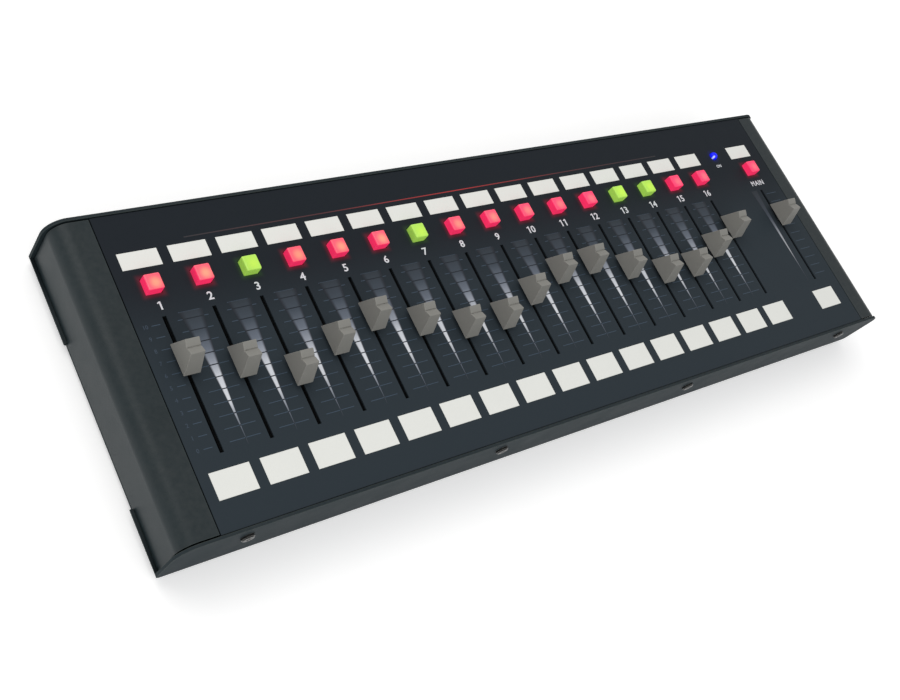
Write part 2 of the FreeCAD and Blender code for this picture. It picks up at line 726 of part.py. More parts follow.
def make_power_inlet():
    """A round coaxial inlet: square block, round mouth and a centre pin."""
    block = box("power_block", "power_centre", "(case_depth - power_depth) / 2", main_top,
                "power_width", "power_depth", "power_height")
    level = f"{main_top} + power_height / 2"
    mouth = cylinder("power_mouth", "power_centre", "case_depth / 2 - power_bore_depth", level,
                     "power_bore", "power_bore_depth + 1", along="Y")
    pin = cylinder("power_pin_rod", "power_centre", "case_depth / 2 - power_bore_depth - 1", level,
                   "power_pin", "power_bore_depth + 1 - power_pin_setback", along="Y")
    keep("power_inlet", fuse("power_inlet_block", [cut("power_inlet_cut", block, [mouth]), pin]))


# ---------------------------------------------------------------- fasteners and feet
def make_case_fasteners():
    screws, nuts = [], []
    grip = "pan_sheet + edge_gap + panel_sheet + nut_height"
    for wall, side in (("front", -1), ("rear", 1)):
        for index, x in enumerate(screw_places()):
            axis = FreeCAD.Vector(1, 0, 0)
            screws.append(turned_screw(f"case_screw_{wall}_{index}", grip, x, f"{side} * case_depth / 2",
                                       screw_level, axis, 90 * side))
            low = f"0 - {flange_face}" if side < 0 else f"{flange_face} - nut_height"
            outer = cylinder(f"nut_outer_{wall}_{index}", x, low, screw_level, "nut_radius",
                             "nut_height", along="Y")
            bore = cylinder(f"nut_bore_{wall}_{index}", x, low, screw_level, "screw_radius + fit_gap",
                            "nut_height", along="Y")
            nuts.append(cut(f"nut_{wall}_{index}", outer, [bore]))
    keep("case_screws", group("case_screw_group", screws))
    keep("clinch_nuts", group("nut_group", nuts))
    under = [turned_screw(f"cheek_screw_{index}", "pan_sheet + cheek_foot_wall", x, y, "foot_height",
                          FreeCAD.Vector(1, 0, 0), 0)
             for index, (x, y) in enumerate(cheek_screw_places())]
    keep("cheek_screws", group("cheek_screw_group", under))


def make_feet():
    feet = []
    for side_x in (-1, 1):
        for side_y in (-1, 1):
            foot = doc.addObject("Part::Cone", f"foot_{side_x + 1}_{side_y + 1}")
            bind(foot, Radius1="foot_radius - foot_taper", Radius2="foot_radius", Height="foot_height")
            feet.append(place(foot, f"{side_x} * (case_width / 2 - foot_inset_x)",
                              f"{side_y} * (case_depth / 2 - foot_inset_y)", "0"))
    keep("rubber_feet", group("foot_group", feet))


make_boards()
make_main_board_chips()
make_network_socket()
make_power_inlet()
make_case_fasteners()
make_feet()

# ---------------------------------------------------------------- check and write
doc.recompute()
for item in doc.Objects:
    if "Invalid" in item.State or "Error" in item.State:
        raise RuntimeError(f"{item.Label} did not build: {item.State}")
os.makedirs("parts", exist_ok=True)
for name, item in pieces.items():
    if item.Label != name or item.Shape.isNull() or not item.Shape.isValid():
        raise RuntimeError(f"{name} has no valid shape")
for name, item in pieces.items():
    item.Shape.exportStep(f"parts/{name}.step")
print("wrote", len(pieces), "sub-parts")
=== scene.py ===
import bpy
import bmesh
import math
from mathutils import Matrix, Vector
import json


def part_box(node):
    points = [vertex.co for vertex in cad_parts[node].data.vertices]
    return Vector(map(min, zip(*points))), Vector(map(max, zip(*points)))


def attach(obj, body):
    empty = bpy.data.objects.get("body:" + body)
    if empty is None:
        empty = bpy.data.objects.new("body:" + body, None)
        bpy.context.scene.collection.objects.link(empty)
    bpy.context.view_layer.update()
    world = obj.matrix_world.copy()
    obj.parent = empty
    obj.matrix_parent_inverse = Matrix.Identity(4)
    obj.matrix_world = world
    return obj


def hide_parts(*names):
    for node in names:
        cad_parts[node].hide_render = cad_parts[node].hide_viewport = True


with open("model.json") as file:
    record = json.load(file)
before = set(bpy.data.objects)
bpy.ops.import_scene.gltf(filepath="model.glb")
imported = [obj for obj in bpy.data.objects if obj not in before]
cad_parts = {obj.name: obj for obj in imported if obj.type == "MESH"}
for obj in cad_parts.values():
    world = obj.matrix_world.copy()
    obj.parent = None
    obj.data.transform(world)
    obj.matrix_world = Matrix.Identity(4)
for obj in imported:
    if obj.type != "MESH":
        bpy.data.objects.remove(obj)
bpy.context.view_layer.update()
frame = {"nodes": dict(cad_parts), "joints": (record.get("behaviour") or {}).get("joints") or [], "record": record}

cadNodes = frame["nodes"]
caseBody = "case"
mm = 0.001

# camera
cameraView = {"place": (-0.46269, -0.1714, 0.48876), "turn": (0.55793, -0.46204, -0.48412),
              "lens": 49.5, "sensor": 36, "shiftX": 0.0914, "shiftY": -0.0421}


def addCamera():
    data = bpy.data.cameras.new("deskCamera")
    data.lens = cameraView["lens"]
    data.sensor_width = cameraView["sensor"]
    data.shift_x = cameraView["shiftX"]
    data.shift_y = cameraView["shiftY"]
    camera = bpy.data.objects.new("deskCamera", data)
    camera.location = cameraView["place"]
    camera.rotation_euler = cameraView["turn"]
    bpy.context.scene.collection.objects.link(camera)
    bpy.context.scene.camera = camera


addCamera()
print("camera set")

# places read from the frame: everything printed follows the real pieces
channelNames = [f"{number:02d}" for number in range(1, 17)] + ["master"]
greenChannels = ("03", "07", "13", "14")


def middle(node):
    low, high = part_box(node)
    return (low + high) / 2


buttonMiddles = {name: middle("mute_button_" + name) for name in channelNames}
channelX = {name: place.x for name, place in buttonMiddles.items()}
pitch = channelX["02"] - channelX["01"]
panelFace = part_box("panel_overlay")[1].z
buttonY = buttonMiddles["01"].y


def sliderMarks():
    # a slider's lower limit brings its cap to the 0 mark, its upper limit to the 10 mark
    joint = [item for item in frame["joints"] if item["name"] == "fader_01_slide"][0]
    low, high = joint["range_m"]
    rest = middle("fader_knob_01").y
    return rest + low, rest + high


zeroY, tenY = sliderMarks()


# shader helpers
def newTree(material):
    material.use_nodes = True
    tree = material.node_tree
    tree.nodes.clear()
    return tree


def addNode(tree, kind, **values):
    node = tree.nodes.new(kind)
    for key, value in values.items():
        if hasattr(node, key):
            setattr(node, key, value)
        else:
            node.inputs[key].default_value = value
    return node


def mathNode(tree, operation, first, second=None, third=None):
    node = tree.nodes.new("ShaderNodeMath")
    node.operation = operation
    for socket, value in zip(node.inputs, (first, second, third)):
        if value is None:
            continue
        if isinstance(value, (int, float)):
            socket.default_value = value
        else:
            tree.links.new(value, socket)
    return node.outputs[0]


def mixColour(tree, factor, first, second, blend="MIX"):
    node = tree.nodes.new("ShaderNodeMix")
    node.data_type = "RGBA"
    node.blend_type = blend
    for name, value in (("Factor_Float", factor), ("A_Color", first), ("B_Color", second)):
        socket = [item for item in node.inputs if item.identifier == name][0]
        if isinstance(value, (int, float)):
            socket.default_value = value
        elif isinstance(value, tuple):
            socket.default_value = (*value, 1) if len(value) == 3 else value
        else:
            tree.links.new(value, socket)
    return [item for item in node.outputs if item.identifier == "Result_Color"][0]


def newGroup(name, inputs, outputs):
    group = bpy.data.node_groups.new(name, "ShaderNodeTree")
    for label, kind, value in inputs:
        socket = group.interface.new_socket(label, in_out="INPUT", socket_type=kind)
        socket.default_value = value
    for label, kind in outputs:
        group.interface.new_socket(label, in_out="OUTPUT", socket_type=kind)
    return group, group.nodes.new("NodeGroupInput"), group.nodes.new("NodeGroupOutput")


def useGroup(tree, group, **values):
    node = tree.nodes.new("ShaderNodeGroup")
    node.node_tree = group
    for key, value in values.items():
        node.inputs[key].default_value = value
    return node


def makeShader(tree, values):
    # a principled shader joined to the material's output
    shader = tree.nodes.new("ShaderNodeBsdfPrincipled")
    for name, value in values.items():
        shader.inputs[name].default_value = value
    output = tree.nodes.new("ShaderNodeOutputMaterial")
    tree.links.new(shader.outputs[0], output.inputs["Surface"])
    return shader


def shaderOf(material):
    return [node for node in material.node_tree.nodes if node.type == "BSDF_PRINCIPLED"][0]


def objectPlace(tree):
    # x, y and z of a point on the desk, in metres
    place = tree.nodes.new("ShaderNodeTexCoord")
    split = tree.nodes.new("ShaderNodeSeparateXYZ")
    tree.links.new(place.outputs["Object"], split.inputs[0])
    return split.outputs


def flatDistance(tree, dx, dy):
    squares = [mathNode(tree, "MULTIPLY", value, value) for value in (dx, dy)]
    return mathNode(tree, "SQRT", mathNode(tree, "ADD", *squares))


def falloff(tree, distance, near, far):
    # 1 at near and before it, 0 at far and beyond it
    node = tree.nodes.new("ShaderNodeMapRange")
    node.interpolation_type = "SMOOTHSTEP"
    tree.links.new(distance, node.inputs["Value"])
    for name, value in (("From Min", near), ("From Max", far), ("To Min", 1.0), ("To Max", 0.0)):
        node.inputs[name].default_value = value
    return node.outputs[0]


def linear(red, green, blue):
    # colours are named as seen on a screen, 0 to 255, and stored as linear light
    parts = []
    for value in (red, green, blue):
        value = value / 255
        parts.append(value / 12.92 if value <= 0.04045 else ((value + 0.055) / 1.055) ** 2.4)
    return tuple(parts)


# shared surface effects
grainShape = {"fineDetail": 3.0, "fineRough": 0.6, "coarseScale": 60.0, "coarseDetail": 4.0,
              "coarseRough": 0.55}


def makeGrainGroup():
    # fine moulded or powder-coated grain: a height for the bump and a shift for the roughness
    look = grainShape
    group, given, wanted = newGroup("surfaceGrain", [("Size", "NodeSocketFloat", 900.0)],
                                    [("Height", "NodeSocketFloat"), ("Shift", "NodeSocketFloat")])
    place = group.nodes.new("ShaderNodeTexCoord")
    fine = addNode(group, "ShaderNodeTexNoise", Detail=look["fineDetail"],
                   Roughness=look["fineRough"])
    coarse = addNode(group, "ShaderNodeTexNoise", Scale=look["coarseScale"],
                     Detail=look["coarseDetail"], Roughness=look["coarseRough"])
    for node in (fine, coarse):
        group.links.new(place.outputs["Object"], node.inputs["Vector"])
    group.links.new(given.outputs["Size"], fine.inputs["Scale"])
    shift = mathNode(group, "SUBTRACT", coarse.outputs["Fac"], 0.5)
    group.links.new(fine.outputs["Fac"], wanted.inputs["Height"])
    group.links.new(shift, wanted.inputs["Shift"])
    return group


edgeHighlightShape = {"samples": 4, "gain": 6.0, "chipScale": 260.0, "chipDetail": 5.0, "chipRough": 0.7}


def makeWearGroup():
    # 1 on outer edges, where a lighter painted highlight goes, broken up by noise; 0 on open faces
    look = edgeHighlightShape
    group, given, wanted = newGroup("edgeWear", [("Radius", "NodeSocketFloat", 0.6 * mm),
                                                 ("Strength", "NodeSocketFloat", 1.0)],
                                    [("Mask", "NodeSocketFloat")])
    bevel = addNode(group, "ShaderNodeBevel", samples=look["samples"])
    group.links.new(given.outputs["Radius"], bevel.inputs["Radius"])
    face = group.nodes.new("ShaderNodeNewGeometry")
    across = group.nodes.new("ShaderNodeVectorMath")
    across.operation = "DOT_PRODUCT"
    group.links.new(bevel.outputs["Normal"], across.inputs[0])
    group.links.new(face.outputs["Normal"], across.inputs[1])
    bend = mathNode(group, "SUBTRACT", 1.0, across.outputs["Value"])
    bend = mathNode(group, "MULTIPLY", bend, look["gain"])
    place = group.nodes.new("ShaderNodeTexCoord")
    chips = addNode(group, "ShaderNodeTexNoise", Scale=look["chipScale"],
                    Detail=look["chipDetail"], Roughness=look["chipRough"])
    group.links.new(place.outputs["Object"], chips.inputs["Vector"])
    broken = mathNode(group, "MULTIPLY", bend, chips.outputs["Fac"])
    strong = mathNode(group, "MULTIPLY", broken, given.outputs["Strength"])
    mask = mathNode(group, "MINIMUM", mathNode(group, "MAXIMUM", strong, 0.0), 1.0)
    group.links.new(mask, wanted.inputs["Mask"])
    return group


dustShape = {"patchScale": 9.0, "patchDetail": 6.0, "patchRough": 0.65, "speckScale": 420.0,
             "speckDetail": 2.0, "speckRough": 0.5, "colour": (0.42, 0.41, 0.39)}


def makeDustGroup():
    # thin settled dust and finger haze in soft patches
    look = dustShape
    group, given, wanted = newGroup("settledDust", [("Amount", "NodeSocketFloat", 0.1)],
                                    [("Mask", "NodeSocketFloat")])
    place = group.nodes.new("ShaderNodeTexCoord")
    patch = addNode(group, "ShaderNodeTexNoise", Scale=look["patchScale"],
                    Detail=look["patchDetail"], Roughness=look["patchRough"])
    speck = addNode(group, "ShaderNodeTexNoise", Scale=look["speckScale"],
                    Detail=look["speckDetail"], Roughness=look["speckRough"])
    for node in (patch, speck):
        group.links.new(place.outputs["Object"], node.inputs["Vector"])
    face = group.nodes.new("ShaderNodeNewGeometry")
    split = group.nodes.new("ShaderNodeSeparateXYZ")
    group.links.new(face.outputs["Normal"], split.inputs[0])
    up = mathNode(group, "MAXIMUM", split.outputs["Z"], 0.0)
    soft = mathNode(group, "MULTIPLY", patch.outputs["Fac"], speck.outputs["Fac"])
    facing = mathNode(group, "MULTIPLY", soft, up)
    mask = mathNode(group, "MULTIPLY", facing, given.outputs["Amount"])
    group.links.new(mask, wanted.inputs["Mask"])
    return group


grainGroup = makeGrainGroup()
edgeHighlightGroup = makeWearGroup()
dustGroup = makeDustGroup()


def addBump(tree, shader, grain, strength, distance):
    bump = addNode(tree, "ShaderNodeBump", Strength=strength, Distance=distance)
    tree.links.new(grain.outputs["Height"], bump.inputs["Height"])
    tree.links.new(bump.outputs["Normal"], shader.inputs["Normal"])


def mottle(tree, grain, shade, amount):
    # lightens and darkens a colour in slow patches
    swing = mathNode(tree, "MULTIPLY", grain.outputs["Shift"], amount)
    return mixColour(tree, 1.0, shade, mathNode(tree, "ADD", swing, 1.0), "MULTIPLY")


surfaceShape = {"coatRough": 0.25, "roughSwing": 0.22, "bumpHeight": 0.4 * mm}


def surface(name, colour, rough, grainSize=900.0, bump=0.05, metal=0.0, wear=0.0,
            wearRadius=0.6 * mm, wearColour=None, dust=0.08, specular=0.5, coat=0.0, tint=0.12):
    # a finished opaque surface: colour variation, grain bump, painted highlights on outer edges and a little dust
    material = bpy.data.materials.new(name)
    tree = newTree(material)
    shader = makeShader(tree, {"Metallic": metal, "Specular IOR Level": specular,
                               "Coat Weight": coat, "Coat Roughness": surfaceShape["coatRough"]})
    grain = useGroup(tree, grainGroup, Size=grainSize)
    darker = tuple(value * (1 - tint) for value in colour)
    lighter = tuple(min(value * (1 + tint), 1) for value in colour)
    vary = mathNode(tree, "ADD", grain.outputs["Shift"], 0.5)
    shade = mixColour(tree, vary, darker, lighter)
    settled = useGroup(tree, dustGroup, Amount=dust)
    shade = mixColour(tree, settled.outputs["Mask"], shade, dustShape["colour"])
    # outer edges are lightened with a painted highlight, broken into chips by noise
    if wear > 0:
        highlit = useGroup(tree, edgeHighlightGroup, Radius=wearRadius, Strength=wear)
        shade = mixColour(tree, highlit.outputs["Mask"], shade, wearColour or lighter)
    tree.links.new(shade, shader.inputs["Base Color"])
    swing = mathNode(tree, "MULTIPLY", grain.outputs["Shift"], surfaceShape["roughSwing"])
    tree.links.new(mathNode(tree, "ADD", swing, rough), shader.inputs["Roughness"])
    addBump(tree, shader, grain, bump, surfaceShape["bumpHeight"])
    return material


def localPlace(tree):
    # distance from the nearest channel's middle line, and plain y, in metres
    place = objectPlace(tree)
    fromFirst = mathNode(tree, "SUBTRACT", place["X"], channelX["01"] - pitch / 2)
    wrapped = mathNode(tree, "FLOORED_MODULO", fromFirst, pitch)
    return mathNode(tree, "SUBTRACT", wrapped, pitch / 2), place["Y"]


# lit buttons: translucent caps with a lamp under each
buttonLook = {
    "red": {"body": linear(214, 30, 80), "side": linear(240, 50, 98),
            "top": linear(255, 116, 120), "hot": linear(255, 196, 140),
            "farTop": linear(248, 66, 112), "farHot": linear(252, 128, 132), "power": 0.62},
    "green": {"body": linear(150, 196, 70), "side": linear(154, 200, 84),
              "top": linear(184, 224, 92), "hot": linear(212, 242, 84),
              "farTop": linear(176, 220, 76), "farHot": linear(206, 240, 70), "power": 0.5},
    "hotOffset": (0.5 * mm, -0.7 * mm), "hotNear": 0.4 * mm, "hotFar": 4.2 * mm,
    "rough": 0.34, "topFrom": 0.9, "topTo": 0.35, "palestChannel": "04", "deepestChannel": "14",
    "grainSize": 700.0, "cloud": 0.7, "bump": 0.03, "bumpHeight": 0.3 * mm,
    # the light edge colour is a painted highlight on the button's outer edges
    "wear": 0.9, "wearRadius": 0.4 * mm, "wearColour": (0.95, 0.82, 0.78),
    "softness": 0.2, "softReach": (2 * mm, 1 * mm, 1 * mm),
}


def litButton(name, tones):
    # brightest over its lamp; the deeper sides and the deeper colour towards the right are painted shade
    look = buttonLook
    material = bpy.data.materials.new(name)
    tree = newTree(material)
    shader = makeShader(tree, {"Roughness": look["rough"], "Emission Strength": tones["power"],
                               "Subsurface Weight": look["softness"],
                               "Subsurface Radius": look["softReach"]})
    across, along = localPlace(tree)
    offsetX, offsetY = look["hotOffset"]
    spread = flatDistance(tree, mathNode(tree, "SUBTRACT", across, offsetX),
                          mathNode(tree, "SUBTRACT", along, buttonY + offsetY))
    hot = falloff(tree, spread, look["hotNear"], look["hotFar"])
    # the sides get a deeper colour than the top by which way each face points: painted shade
    face = tree.nodes.new("ShaderNodeNewGeometry")
    split = tree.nodes.new("ShaderNodeSeparateXYZ")
    tree.links.new(face.outputs["Normal"], split.inputs[0])
    onTop = falloff(tree, split.outputs["Z"], look["topFrom"], look["topTo"])
    # from channel 04 to channel 14 the colour deepens: a painted falloff of the room light across the desk
    paintedFalloff = falloff(tree, objectPlace(tree)["X"], channelX[look["palestChannel"]],
                    channelX[look["deepestChannel"]])
    cool = mixColour(tree, paintedFalloff, tones["farTop"], tones["top"])
    warm = mixColour(tree, paintedFalloff, tones["farHot"], tones["hot"])
    top = mixColour(tree, hot, cool, warm)
    grain = useGroup(tree, grainGroup, Size=look["grainSize"])
    glow = mottle(tree, grain, mixColour(tree, onTop, tones["side"], top), look["cloud"])
    tree.links.new(glow, shader.inputs["Emission Color"])
    # painted highlight along the button's outer edges
    highlit = useGroup(tree, edgeHighlightGroup, Radius=look["wearRadius"], Strength=look["wear"])
    body = mixColour(tree, highlit.outputs["Mask"], tones["body"], look["wearColour"])
    tree.links.new(body, shader.inputs["Base Color"])
    addBump(tree, shader, grain, look["bump"], look["bumpHeight"])
    return material


# blue power lamp with a white spot towards one side: a painted highlight on the dome, also standing for the LED's
# hot centre
lampLook = {"tint": linear(10, 22, 206), "spot": linear(225, 234, 255), "power": 0.9,
            "spotOffset": (-1.7 * mm, -1.1 * mm), "spotNear": 0.2 * mm, "spotFar": 0.9 * mm,
            "rough": 0.2, "specular": 0.25}


def litLamp():
    look = lampLook
    material = bpy.data.materials.new("lampBlue")
    tree = newTree(material)
    shader = makeShader(tree, {"Roughness": look["rough"], "Specular IOR Level": look["specular"],
                               "Emission Strength": look["power"],
                               "Base Color": (*look["tint"], 1)})
    place = objectPlace(tree)
    lamp = middle("power_lamp")
    offsetX, offsetY = look["spotOffset"]
    spread = flatDistance(tree, mathNode(tree, "SUBTRACT", place["X"], lamp.x + offsetX),
                          mathNode(tree, "SUBTRACT", place["Y"], lamp.y + offsetY))
    # the white spot is a painted highlight on the dome, also standing for the LED's hot centre
    spot = falloff(tree, spread, look["spotNear"], look["spotFar"])
    glow = mixColour(tree, spot, look["tint"], look["spot"])
    tree.links.new(glow, shader.inputs["Emission Color"])
    return material


# printed inks
inkLook = {"rough": 0.6, "grainSize": 1400.0, "mottle": 0.3}


def fillRamp(ramp, stops):
    while len(ramp.color_ramp.elements) < len(stops):
        ramp.color_ramp.elements.new(0.5)
    for element, (position, colour) in zip(ramp.color_ramp.elements, stops):
        element.position = position
        element.color = (*colour, 1)


def inkRamp(tree, value, low, high, stops):
    # a share from 0 at low to 1 at high, and the colour of the stops at that share
    span = tree.nodes.new("ShaderNodeMapRange")
    tree.links.new(value, span.inputs["Value"])
    span.inputs["From Min"].default_value = low
    span.inputs["From Max"].default_value = high
    ramp = tree.nodes.new("ShaderNodeValToRGB")
    tree.links.new(span.outputs[0], ramp.inputs["Fac"])
    fillRamp(ramp, stops)
    return span.outputs[0], ramp.outputs["Color"]


def gradientPrint(name, stops, axis, low, high):
    # ink whose colour runs along one axis between two places
    material = bpy.data.materials.new(name)
    tree = newTree(material)
    shader = makeShader(tree, {"Roughness": inkLook["rough"]})
    share, colour = inkRamp(tree, objectPlace(tree)[axis], low, high, stops)
    grain = useGroup(tree, grainGroup, Size=inkLook["grainSize"])
    shade = mottle(tree, grain, colour, inkLook["mottle"])
    tree.links.new(shade, shader.inputs["Base Color"])
    return material


# finishes for the pieces carried over from the frame
# the lighter edge colours below are painted highlights on outer edges
finishes = {
    "panSteel": dict(colour=linear(39, 48, 52), rough=0.55, grainSize=1500.0, bump=0.12,
                     wear=0.9, wearColour=linear(80, 86, 82), wearRadius=0.5 * mm, specular=0.04),
    "panelSteel": dict(colour=linear(24, 27, 29), rough=0.6, grainSize=1300.0, bump=0.08,
                       specular=0.15),
    "overlayFilm": dict(colour=linear(33, 38, 46), rough=0.5, grainSize=2200.0, bump=0.06,
                        tint=0.08, dust=0.03, specular=0.05),
    "cheekPlastic": dict(colour=linear(37, 46, 49), rough=0.36, grainSize=1500.0, bump=0.16,
                         wear=0.5, wearColour=linear(70, 79, 78), wearRadius=0.8 * mm,
                         specular=0.17),
    "labelWhite": dict(colour=linear(240, 241, 236), rough=0.6, grainSize=1700.0, bump=0.04,
                       tint=0.02, dust=0.04, specular=0.2),
    "capGrey": dict(colour=linear(137, 136, 131), rough=0.5, grainSize=1600.0, bump=0.08,
                    wear=0.7, wearColour=linear(186, 184, 176), wearRadius=0.3 * mm, tint=0.05,
                    specular=0.3),
    "leverSteel": dict(colour=linear(150, 152, 154), rough=0.32, metal=1.0, grainSize=2400.0,
                       bump=0.05),
    "boardBlack": dict(colour=linear(24, 25, 27), rough=0.5, grainSize=900.0, bump=0.08),
    "boardGreen": dict(colour=linear(18, 84, 46), rough=0.28, grainSize=700.0, bump=0.05,
                       coat=0.5),
    "spacerBrass": dict(colour=linear(196, 164, 96), rough=0.28, metal=1.0, grainSize=1800.0,
                        bump=0.05),
    "screwBlack": dict(colour=linear(36, 37, 38), rough=0.3, metal=0.6, grainSize=1900.0,
                       bump=0.08, wear=1.6, wearColour=linear(170, 168, 160),
                       wearRadius=0.3 * mm),
    "footRubber": dict(colour=linear(26, 26, 27), rough=0.78, grainSize=800.0, bump=0.2,
                       specular=0.3),
    # near black like a fader's dust strip, and also painted shade for the inside of the slots
    "slideSteel": dict(colour=linear(34, 35, 37), rough=0.55, metal=0.3, grainSize=1500.0,
                       bump=0.06, specular=0.2),
    "socketBlack": dict(colour=linear(22, 22, 24), rough=0.34, grainSize=1100.0, bump=0.05),
    "contactGold": dict(colour=linear(222, 184, 104), rough=0.22, metal=1.0, grainSize=1800.0,
                        bump=0.03),
    "platedSteel": dict(colour=linear(186, 188, 190), rough=0.3, metal=1.0, grainSize=1500.0,
                        bump=0.06, wear=0.6, wearColour=linear(214, 214, 212)),
}
finish = {name: surface(name, **values) for name, values in finishes.items()}

# the printed film: lighter towards the front as a painted reflection of the room, with a painted glow of light
# round each lit button and the lamp
filmLook = {"dark": linear(36, 41, 46), "light": linear(53, 62, 68),
            "fadeFront": -4 * mm, "fadeRear": 45 * mm, "fadeShare": 0.75,
            "redLeak": linear(200, 16, 60), "greenLeak": linear(66, 110, 22),
            "blueLeak": linear(10, 20, 150), "leakReach": 3.8 * mm, "leakCorner": 2 * mm,
            "lampRadius": 2.5 * mm, "lampReach": 3.0 * mm, "leakPower": 0.2,
            "channelMatch": 0.4}  # counts are whole numbers, so a match is anything under a half


def channelCount(tree):
    # which channel a point belongs to, counted from 0 at the first
    fromFirst = mathNode(tree, "SUBTRACT", objectPlace(tree)["X"], channelX["01"] - pitch / 2)
    return mathNode(tree, "FLOOR", mathNode(tree, "DIVIDE", fromFirst, pitch))


def countAt(x):
    return round((x - channelX["01"]) / pitch)


def buttonLeak(tree, across, along, count, isLamp):
    # painted light from the buttons on the film: strongest beside a button; none at the lamp's place or past the
    # master's button
    look = filmLook
    low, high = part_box("mute_button_01")
    side = (high.x - low.x) / 2
    fromX = mathNode(tree, "ABSOLUTE", across)
    fromY = mathNode(tree, "ABSOLUTE", mathNode(tree, "SUBTRACT", along, buttonY))
    reach = mathNode(tree, "SMOOTH_MAX", fromX, fromY, look["leakCorner"])
    near = falloff(tree, reach, side, side + look["leakReach"])
    near = mathNode(tree, "MULTIPLY", near, near)
    near = mathNode(tree, "MULTIPLY", near, mathNode(tree, "SUBTRACT", 1.0, isLamp))
    inRow = mathNode(tree, "LESS_THAN", count, countAt(channelX["master"]) + 0.5)
    return mathNode(tree, "MULTIPLY", near, inRow)


def makeFilm():
    look = filmLook
    material = surface("printedFilm", **finishes["overlayFilm"])
    tree = material.node_tree
    shader = shaderOf(material)
    plain = shader.inputs["Base Color"].links[0].from_socket
    across, along = localPlace(tree)
    # lighter towards the front: a painted reflection of the room on the film
    front = falloff(tree, along, look["fadeFront"], look["fadeRear"])
    paintedReflection = mixColour(tree, front, look["dark"], look["light"])
    tree.links.new(mixColour(tree, look["fadeShare"], plain, paintedReflection), shader.inputs["Base Color"])
    count = channelCount(tree)
    match = look["channelMatch"]
    isGreen = 0.0
    for name in greenChannels:
        here = mathNode(tree, "COMPARE", count, float(channelNames.index(name)), match)
        isGreen = mathNode(tree, "ADD", isGreen, here)
    lamp = middle("power_lamp")
    isLamp = mathNode(tree, "COMPARE", count, float(countAt(lamp.x)), match)
    leak = mixColour(tree, isGreen, look["redLeak"], look["greenLeak"])
    near = buttonLeak(tree, across, along, count, isLamp)
    spread = flatDistance(tree, across, mathNode(tree, "SUBTRACT", along, lamp.y))
    lampNear = falloff(tree, spread, look["lampRadius"], look["lampRadius"] + look["lampReach"])
    lampNear = mathNode(tree, "MULTIPLY", lampNear, isLamp)
    # the film glows with painted light from the buttons and the lamp
    glow = mixColour(tree, near, (0.0, 0.0, 0.0), leak)
    glow = mixColour(tree, lampNear, glow, look["blueLeak"])
    tree.links.new(glow, shader.inputs["Emission Color"])
    shader.inputs["Emission Strength"].default_value = look["leakPower"]
    return material


finish["buttonRed"] = litButton("buttonRed", buttonLook["red"])
finish["buttonGreen"] = litButton("buttonGreen", buttonLook["green"])
finish["lampBlue"] = litLamp()
finish["printedFilm"] = makeFilm()
slotFinish = {"pan_steel": "panSteel", "panel_steel": "panelSteel", "overlay_film": "overlayFilm",
              "cheek_plastic": "cheekPlastic", "label_white": "labelWhite", "cap_grey": "capGrey",
              "button_red": "buttonRed", "button_green": "buttonGreen", "lamp_blue": "lampBlue",
              "plated_steel": "platedSteel", "board_black": "boardBlack",
              "board_green": "boardGreen", "spacer_brass": "spacerBrass",
              "screw_black": "screwBlack", "foot_rubber": "footRubber",
              "socket_black": "socketBlack", "contact_gold": "contactGold"}
# the fader housings' near-black finish also stands in as painted shade inside the slots
nodeFinish = {"fader_housings": "slideSteel", "panel_overlay": "printedFilm"}


def dressFrame():
    slots = {part["node"]: part["material_slot"] for part in frame["record"]["subparts"]}
    for name, item in cadNodes.items():
        item.data.materials.clear()
        item.data.materials.append(finish[nodeFinish.get(name, slotFinish[slots[name]])])


dressFrame()
print("frame dressed")

# building helpers
def finishPiece(bm, name, material, body, smooth=None):
    # turns a bmesh into an object at the origin that rides on a body
    mesh = bpy.data.meshes.new(name)
    bm.to_mesh(mesh)
    bm.free()
    for one in material if isinstance(material, list) else [material]:
        mesh.materials.append(one)
    if smooth is not None:
        mesh.shade_smooth()
        mesh.set_sharp_from_angle(angle=math.radians(smooth))
    piece = bpy.data.objects.new(name, mesh)
    bpy.context.scene.collection.objects.link(piece)
    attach(piece, body)
    return piece


def addBlock(bm, centre, size):
    made = bmesh.ops.create_cube(bm, size=1.0)["verts"]
    bmesh.ops.scale(bm, vec=size, verts=made)
    bmesh.ops.translate(bm, vec=centre, verts=made)
    return made


def addPrism(bm, corners, low, thick):
    # a flat outline pulled up to a thin closed slab
    base = [bm.verts.new((x, y, low)) for x, y in corners]
    face = bm.faces.new(base)
    pulled = bmesh.ops.extrude_face_region(bm, geom=[face])["geom"]
    top = [item for item in pulled if isinstance(item, bmesh.types.BMVert)]
    bmesh.ops.translate(bm, vec=(0, 0, thick), verts=top)
    return base + top


def joinInto(bm, other):
    # pours another bmesh's shape into this one
    holding = bpy.data.meshes.new("joining")
    other.to_mesh(holding)
    other.free()
    bm.from_mesh(holding)
    bpy.data.meshes.remove(holding)


wordShape = {"curveSteps": 3, "halfThick": 0.5, "merge": 0.0005}  # for letters one unit high


